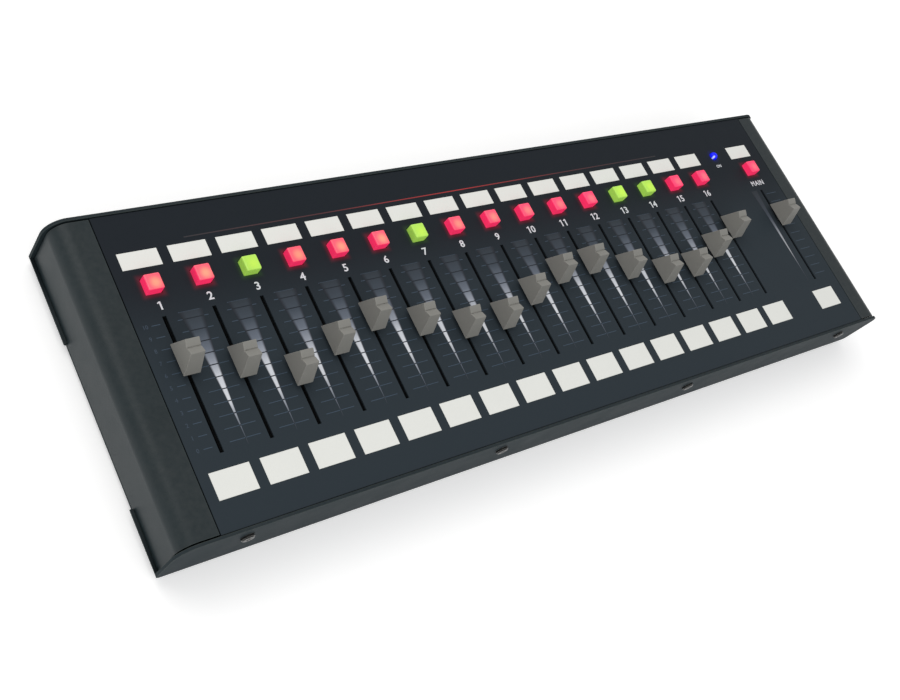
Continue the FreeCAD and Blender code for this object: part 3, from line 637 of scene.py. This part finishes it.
def addWords(bm, words, height, centre, low, thick, weight=0.0, spacing=1.0, widthScale=1.0):
    # letters of a wanted height, centred on a point and lying flat on the panel
    curve = bpy.data.curves.new("lettering", "FONT")
    curve.body = words
    curve.size = 1.0
    curve.offset = weight
    curve.space_character = spacing
    curve.resolution_u = wordShape["curveSteps"]
    curve.extrude = wordShape["halfThick"]
    holder = bpy.data.objects.new("lettering", curve)
    bpy.context.scene.collection.objects.link(holder)
    bpy.context.view_layer.update()
    depsgraph = bpy.context.evaluated_depsgraph_get()
    made = bpy.data.meshes.new_from_object(holder.evaluated_get(depsgraph))
    bpy.data.objects.remove(holder)
    letters = bmesh.new()
    letters.from_mesh(made)
    bpy.data.meshes.remove(made)
    bmesh.ops.remove_doubles(letters, verts=letters.verts, dist=wordShape["merge"])
    xs = [v.co.x for v in letters.verts]
    ys = [v.co.y for v in letters.verts]
    scale = height / (max(ys) - min(ys))
    toCentre = (-(max(xs) + min(xs)) / 2, -(max(ys) + min(ys)) / 2, wordShape["halfThick"])
    bmesh.ops.translate(letters, vec=toCentre, verts=letters.verts)
    bmesh.ops.scale(letters, vec=(scale * widthScale, scale, thick), verts=letters.verts)
    bmesh.ops.translate(letters, vec=(centre[0], centre[1], low), verts=letters.verts)
    bmesh.ops.recalc_face_normals(letters, faces=letters.faces)
    joinInto(bm, letters)


def closeUp(bm):
    bmesh.ops.recalc_face_normals(bm, faces=bm.faces)
    return bm


# softened copies: the frame's own shapes with their sharp outer edges rounded over
softEdges = {"sharp": 28, "flat": 0.4, "merge": 0.002 * mm, "smooth": 40}


def mergedCopy(node):
    bm = bmesh.new()
    bm.from_mesh(cadNodes[node].data)
    bmesh.ops.remove_doubles(bm, verts=bm.verts, dist=softEdges["merge"])
    bmesh.ops.dissolve_limit(bm, angle_limit=math.radians(softEdges["flat"]), verts=bm.verts,
                             edges=bm.edges)
    return bm


def roundOver(bm, width, segments, wanted=None):
    edges = [edge for edge in bm.edges
             if len(edge.link_faces) == 2 and edge.is_convex
             and edge.calc_face_angle(0) > math.radians(softEdges["sharp"])
             and (wanted is None or wanted(edge))]
    bmesh.ops.bevel(bm, geom=edges, offset=width, offset_type="OFFSET", affect="EDGES",
                    segments=segments, profile=0.5, material=-1, clamp_overlap=True)


def finishSoft(bm, name, material, body, node):
    # a softened copy stands in for the frame's own piece
    piece = finishPiece(bm, name, material, body, smooth=softEdges["smooth"])
    modifier = piece.modifiers.new("evenShading", "WEIGHTED_NORMAL")
    modifier.keep_sharp = True
    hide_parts(node)


def looseParts(bm):
    # the separate shells of a mesh, each as a set of faces
    waiting, parts = set(bm.faces), []
    while waiting:
        part, front = set(), [waiting.pop()]
        while front:
            face = front.pop()
            part.add(face)
            for edge in face.edges:
                for other in edge.link_faces:
                    if other in waiting:
                        waiting.discard(other)
                        front.append(other)
        parts.append(part)
    return parts


# slider caps: rounded grey plastic on a steel blade
capShape = {"edge": 0.22 * mm, "segments": 3, "roundedAbove": 1 * mm}


def makeSliderCaps():
    for name in channelNames:
        node = "fader_knob_" + name
        bm = mergedCopy(node)
        # the blade is the shell whose highest point is lowest
        bladeFaces = min(looseParts(bm),
                         key=lambda part: max(v.co.z for face in part for v in face.verts))
        for face in bladeFaces:
            face.material_index = 1
        floor = panelFace + capShape["roundedAbove"]
        roundOver(bm, capShape["edge"], capShape["segments"],
                  lambda edge: edge.link_faces[0].material_index == 0
                  and min(v.co.z for v in edge.verts) > floor)
        finishSoft(bm, "slider_cap_" + name, [finish["capGrey"], finish["leverSteel"]],
                   "fader_" + name, node)


makeSliderCaps()
print("slider caps made")

# lit buttons
buttonShape = {"edge": 0.55 * mm, "segments": 4, "rimDepth": 0.1 * mm}


def makeButtons():
    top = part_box("mute_button_01")[1].z
    for name in channelNames:
        node = "mute_button_" + name
        bm = mergedCopy(node)
        roundOver(bm, buttonShape["edge"], buttonShape["segments"],
                  lambda edge: max(v.co.z for v in edge.verts) > top - buttonShape["rimDepth"])
        slot = "button_green" if name in greenChannels else "button_red"
        finishSoft(bm, "lit_button_" + name, finish[slotFinish[slot]], "button_" + name, node)


makeButtons()
print("buttons made")

# case shells with the soft edges of folded, coated sheet and moulded plastic
shellShape = {"pan_steel": 0.3 * mm, "cheek_plastic": 0.35 * mm, "foot_rubber": 0.5 * mm,
              "segments": 3}


def makeShells():
    for node, name, slot in (("base_pan", "coated_pan", "pan_steel"),
                             ("left_cheek", "moulded_cheek_left", "cheek_plastic"),
                             ("right_cheek", "moulded_cheek_right", "cheek_plastic"),
                             ("rubber_feet", "round_feet", "foot_rubber")):
        bm = mergedCopy(node)
        roundOver(bm, shellShape[slot], shellShape["segments"])
        finishSoft(bm, name, finish[slotFinish[slot]], caseBody, node)


makeShells()
print("shells made")

# printed scale beside each slider
scalePrint = {"steps": 10, "start": 5.3 * mm, "end": 21 * mm, "line": 0.34 * mm,
              "thick": 0.015 * mm, "topStart": 7 * mm, "topEnd": 18 * mm, "topY": 23.6 * mm,
              "leftStart": -7.6 * mm, "leftEnd": -3.3 * mm, "masterStart": 3 * mm,
              "masterEnd": 12.7 * mm, "numeralX": -10.4 * mm, "numeralHeight": 2.0 * mm,
              "numeralWeight": 0.01, "colour": linear(64, 79, 95),
              "numeralColour": linear(60, 72, 86)}
stepY = (tenY - zeroY) / scalePrint["steps"]
markY = [zeroY + stepY * step for step in range(scalePrint["steps"] + 1)]
printLow = panelFace
scaleChannels = [name for name in channelNames if name not in ("16", "master")]
printedLook = {"rough": 0.55, "grainSize": 2600.0, "bump": 0.02, "dust": 0.03, "specular": 0.2}


def printedInk(name, colour, tint=0.1):
    return surface(name, colour, tint=tint, **printedLook)


def addStroke(bm, x, start, end, y):
    # a line across the panel between two offsets from x
    look = scalePrint
    addBlock(bm, (x + (start + end) / 2, y, printLow + look["thick"] / 2),
             (end - start, look["line"], look["thick"]))


def makeScale():
    bm = bmesh.new()
    look = scalePrint
    for name in scaleChannels:
        for y in markY:
            addStroke(bm, channelX[name], look["start"], look["end"], y)
        addStroke(bm, channelX[name], look["topStart"], look["topEnd"], look["topY"])
    for y in markY:
        addStroke(bm, channelX["master"], look["masterStart"], look["masterEnd"], y)
    for y in markY:
        addStroke(bm, channelX["01"], look["leftStart"], look["leftEnd"], y)
    finishPiece(closeUp(bm), "scale_lines", printedInk("scaleInk", look["colour"]), caseBody)
    bm = bmesh.new()
    for step, y in enumerate(markY):
        addWords(bm, str(step), look["numeralHeight"], (channelX["01"] + look["numeralX"], y),
                 printLow, look["thick"], weight=look["numeralWeight"])
    finishPiece(bm, "scale_numerals", printedInk("numeralInk", look["numeralColour"]), caseBody)


makeScale()

# level wedges: wide and dim at the top, bright and narrow towards the bottom
wedgePrint = {"centre": 13.3 * mm, "topWidth": 12.0 * mm, "topY": 23.6 * mm, "tipY": -43 * mm,
              "masterCentre": -7.3 * mm, "masterWidth": 6 * mm, "thick": 0.02 * mm,
              "tipWidth": 0.3 * mm, "flare": 1.65, "sections": 12,
              "stops": [(0.0, linear(52, 59, 68)), (0.13, linear(100, 107, 119)),
                        (0.23, linear(165, 170, 180)), (0.33, linear(226, 229, 235)),
                        (0.5, linear(218, 222, 230)), (0.6, linear(160, 166, 178)),
                        (0.7, linear(108, 116, 129)), (0.84, linear(66, 75, 86)),
                        (1.0, linear(46, 54, 62))],
              "solid": 0.5, "edge": 1.02, "rough": 0.55, "specular": 0.25, "masterFade": 0.5,
              "ruling": linear(30, 36, 44), "rulingLine": 0.51 * mm, "rulingThick": 0.01 * mm}


def wedgeInk(name, centreX, repeats, topHalf, fade=0.0):
    # brightness runs along the wedge and softens out to the film's own colour at its edges
    look = wedgePrint
    film = finishes["overlayFilm"]["colour"]
    material = bpy.data.materials.new(name)
    tree = newTree(material)
    shader = makeShader(tree, {"Roughness": look["rough"], "Specular IOR Level": look["specular"]})
    place = objectPlace(tree)
    across = mathNode(tree, "SUBTRACT", place["X"], centreX)
    if repeats:
        across = mathNode(tree, "ADD", across, pitch / 2)
        across = mathNode(tree, "FLOORED_MODULO", across, pitch)
        across = mathNode(tree, "SUBTRACT", across, pitch / 2)
    across = mathNode(tree, "ABSOLUTE", across)
    share, colour = inkRamp(tree, place["Y"], look["tipY"], look["topY"], look["stops"])
    half = mathNode(tree, "POWER", share, look["flare"])
    half = mathNode(tree, "MULTIPLY", half, topHalf - look["tipWidth"] / 2)
    half = mathNode(tree, "ADD", half, look["tipWidth"] / 2)
    mask = falloff(tree, mathNode(tree, "DIVIDE", across, half), look["solid"], look["edge"])
    grain = useGroup(tree, grainGroup, Size=inkLook["grainSize"])
    printed = mixColour(tree, fade, colour, film)
    shade = mottle(tree, grain, mixColour(tree, mask, film, printed), inkLook["mottle"])
    tree.links.new(shade, shader.inputs["Base Color"])
    return material


def wedgeHalf(y, topHalf):
    # half the wedge's width: it narrows quickly at first, then slowly towards its tip
    look = wedgePrint
    share = (y - look["tipY"]) / (look["topY"] - look["tipY"])
    return look["tipWidth"] / 2 + (topHalf - look["tipWidth"] / 2) * share ** look["flare"]


def addWedge(bm, x, topHalf):
    look = wedgePrint
    rise = (look["topY"] - look["tipY"]) / look["sections"]
    levels = [look["tipY"] + rise * count for count in range(look["sections"] + 1)]
    right = [(x + wedgeHalf(y, topHalf), y) for y in levels]
    left = [(x - wedgeHalf(y, topHalf), y) for y in reversed(levels)]
    addPrism(bm, right + left, printLow, look["thick"])


def makeWedges():
    look = wedgePrint
    bm = bmesh.new()
    half = look["topWidth"] / 2
    for name in scaleChannels:
        addWedge(bm, channelX[name] + look["centre"], half)
    ink = wedgeInk("wedgeInk", channelX["01"] + look["centre"], True, half)
    finishPiece(closeUp(bm), "level_wedges", ink, caseBody)
    bm = bmesh.new()
    masterHalf = look["masterWidth"] / 2
    masterX = channelX["master"] + look["masterCentre"]
    addWedge(bm, masterX, masterHalf)
    ink = wedgeInk("masterWedgeInk", masterX, False, masterHalf, look["masterFade"])
    finishPiece(closeUp(bm), "master_wedge", ink, caseBody)
    bm = bmesh.new()
    rulingZ = printLow + look["thick"] + look["rulingThick"] / 2
    for name in scaleChannels:
        for y in markY:
            addBlock(bm, (channelX[name] + look["centre"], y, rulingZ),
                     (2 * wedgeHalf(y, half), look["rulingLine"], look["rulingThick"]))
    finishPiece(closeUp(bm), "wedge_rulings", printedInk("rulingInk", look["ruling"]), caseBody)


makeWedges()

# channel numbers and generic words
letterPrint = {"numberHeight": 4.2 * mm, "numberY": 28.8 * mm, "numberShift": 0.4 * mm,
               "thick": 0.02 * mm, "weight": 0.02, "numberWidth": 1.08, "spacing": 1.1,
               "oneStroke": 0.85 * mm, "oneFlag": 0.85 * mm, "oneDrop": 0.9 * mm,
               "oneCorner": 0.25, "flagTop": 0.55, "flagFoot": 1.3, "flagJoin": 0.85,
               "unitOneShift": 0.2, "tensShift": 1.5 * mm, "unitShift": 1.35 * mm,
               "mainWord": "MAIN", "mainHeight": 3.5 * mm, "mainShift": 0.5 * mm,
               "lampWord": "ON", "lampHeight": 2.1 * mm, "lampDrop": 7.4 * mm,
               "colour": linear(226, 228, 233)}


def addOne(bm, x):
    # a plain figure one with a flag, which the built-in letters lack
    look = letterPrint
    high = look["numberY"] + look["numberHeight"] / 2
    low = look["numberY"] - look["numberHeight"] / 2
    stroke, flag, drop = look["oneStroke"], look["oneFlag"], look["oneDrop"]
    addPrism(bm, [(x, low), (x + stroke, low), (x + stroke, high),
                  (x + stroke * look["oneCorner"], high),
                  (x - flag, high - drop * look["flagTop"]),
                  (x - flag, high - drop * look["flagFoot"]), (x, high - drop * look["flagJoin"])],
             printLow, look["thick"])


def makeLetters():
    look = letterPrint
    ones = bmesh.new()
    bm = bmesh.new()
    for number, name in enumerate(channelNames[:-1], 1):
        middleX = channelX[name] + look["numberShift"]
        if number > 9:
            addOne(ones, middleX - look["tensShift"] - look["oneStroke"] / 2)
            middleX += look["unitShift"]
        if number % 10 == 1:
            addOne(ones, middleX - look["oneStroke"] * look["unitOneShift"])
            continue
        addWords(bm, str(number)[-1], look["numberHeight"], (middleX, look["numberY"]), printLow,
                 look["thick"], weight=look["weight"], widthScale=look["numberWidth"])
    joinInto(bm, closeUp(ones))
    mainX = channelX["master"] + look["mainShift"]
    addWords(bm, look["mainWord"], look["mainHeight"], (mainX, look["numberY"]), printLow,
             look["thick"], weight=look["weight"], spacing=look["spacing"])
    lamp = middle("power_lamp")
    addWords(bm, look["lampWord"], look["lampHeight"], (lamp.x, lamp.y - look["lampDrop"]),
             printLow, look["thick"], weight=look["weight"], spacing=look["spacing"])
    finishPiece(bm, "panel_lettering", printedInk("letterInk", look["colour"], tint=0.02), caseBody)


makeLetters()

# red accent line, brightest in the middle
accentPrint = {"y": 60.2 * mm, "width": 0.55 * mm, "thick": 0.02 * mm, "from": "02", "to": "15",
               "stops": [(0.0, linear(44, 42, 46)), (0.25, linear(84, 36, 40)),
                         (0.5, linear(176, 40, 42)), (0.75, linear(84, 36, 40)),
                         (1.0, linear(44, 42, 46))]}


def makeAccent():
    look = accentPrint
    left, right = channelX[look["from"]], channelX[look["to"]]
    bm = bmesh.new()
    addBlock(bm, ((left + right) / 2, look["y"], printLow + look["thick"] / 2),
             (right - left, look["width"], look["thick"]))
    ink = gradientPrint("accentInk", look["stops"], "X", left, right)
    finishPiece(closeUp(bm), "accent_line", ink, caseBody)


makeAccent()
print("panel printed")

# floor and light
stageLook = {"floor": dict(colour=(0.93, 0.93, 0.93), rough=0.7, grainSize=30.0, bump=0.0,
                           tint=0.01, dust=0.0, specular=0.1),
             "floorGlow": 0.34, "world": (1.0, 1.0, 1.0), "worldPower": 0.62, "size": 6.0}


def makeStage():
    bm = bmesh.new()
    bmesh.ops.create_grid(bm, x_segments=1, y_segments=1, size=stageLook["size"])
    mesh = bpy.data.meshes.new("paleFloor")
    bm.to_mesh(mesh)
    bm.free()
    paper = surface("paleFloor", **stageLook["floor"])
    shader = shaderOf(paper)
    shader.inputs["Emission Color"].default_value = (1, 1, 1, 1)
    shader.inputs["Emission Strength"].default_value = stageLook["floorGlow"]
    mesh.materials.append(paper)
    floor = bpy.data.objects.new("paleFloor", mesh)
    bpy.context.scene.collection.objects.link(floor)
    # the room looks white itself but lights the desk more softly
    world = bpy.data.worlds.new("softRoom")
    world.use_nodes = True
    tree = world.node_tree
    back = tree.nodes["Background"]
    back.inputs["Color"].default_value = (*stageLook["world"], 1)
    seen = tree.nodes.new("ShaderNodeLightPath")
    power = mathNode(tree, "MULTIPLY", seen.outputs["Is Camera Ray"], 1 - stageLook["worldPower"])
    power = mathNode(tree, "ADD", power, stageLook["worldPower"])
    tree.links.new(power, back.inputs["Strength"])
    bpy.context.scene.world = world


makeStage()
softLights = {
    "keyPanel": {"place": (-0.55, 0.75, 1.2), "aim": (0.0, 0.0, 0.02), "size": (1.2, 0.9),
                 "power": 6.0, "colour": (1.0, 0.985, 0.96)},
    "frontFill": {"place": (-0.5, -1.2, 0.9), "aim": (-0.1, 0.0, 0.02), "size": (1.2, 0.8),
                  "power": 4.0, "colour": (0.97, 0.985, 1.0)},
}


def makeLights():
    for name, look in softLights.items():
        data = bpy.data.lights.new(name, "AREA")
        data.shape = "RECTANGLE"
        data.size, data.size_y = look["size"]
        data.energy = look["power"]
        data.color = look["colour"]
        light = bpy.data.objects.new(name, data)
        place = Vector(look["place"])
        light.location = place
        light.rotation_euler = (Vector(look["aim"]) - place).to_track_quat("-Z", "Y").to_euler()
        bpy.context.scene.collection.objects.link(light)


makeLights()
bpy.context.scene.view_settings.view_transform = "Standard"
print("stage lit")

import json
